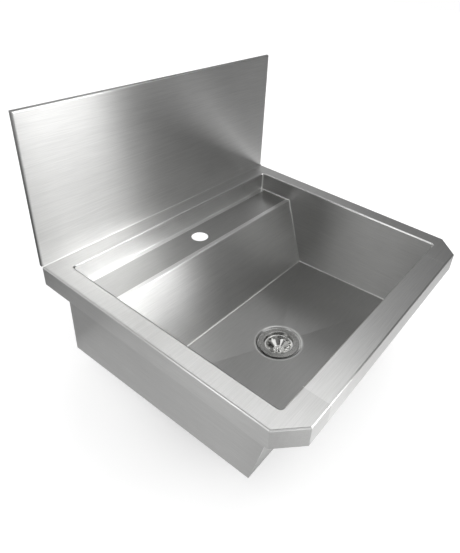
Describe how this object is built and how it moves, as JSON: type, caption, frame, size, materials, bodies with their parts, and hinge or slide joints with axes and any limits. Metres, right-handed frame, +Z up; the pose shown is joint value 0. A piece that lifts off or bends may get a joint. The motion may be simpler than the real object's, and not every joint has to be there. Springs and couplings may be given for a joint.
{
  "type": "hand wash trough sink",
  "caption": "Wall-hung trough of folded satin stainless steel with a tall splashback, a sunken tap ledge, a sloping bowl and a basket waste with a lift-out strainer.",
  "frame": {"origin": "on the wall, at mid-width, level with the screw holes of the wall rail", "axes": "+X along the wall to the right as seen from the front, +Y into the wall, +Z up"},
  "size_m": [0.6, 0.537, 0.5367],
  "materials": {
    "satin_steel": "satin brushed stainless sheet",
    "mill_steel": "plain mill-finish stainless sheet",
    "bright_steel": "polished pressed stainless steel",
    "seal_rubber": "matt black moulded rubber",
    "nut_plastic": "matt moulded polypropylene"
  },
  "bodies": {
    "trough": {"splashback": "satin_steel", "rear_rim": "satin_steel", "left_rim": "satin_steel", "right_rim": "satin_steel", "front_rim": "satin_steel", "tap_riser": "satin_steel", "tap_ledge": "satin_steel", "bowl_back": "satin_steel", "bowl_floor": "satin_steel", "bowl_front": "satin_steel", "left_end_plate": "satin_steel", "right_end_plate": "satin_steel", "wall_rail": "mill_steel", "left_wall_bracket": "mill_steel", "right_wall_bracket": "mill_steel", "waste_cup": "bright_steel", "flange_seal": "seal_rubber", "under_seal": "seal_rubber", "friction_washer": "nut_plastic", "back_nut": "nut_plastic"},
    "basket": {"strainer_basket": "bright_steel", "basket_post": "bright_steel"}
  },
  "joints": [
    {"name": "basket_lift", "type": "slide", "parent": "trough", "child": "basket", "axis": [0, 0.0441, 0.999], "range_m": [0, 0.06]}
  ]
}
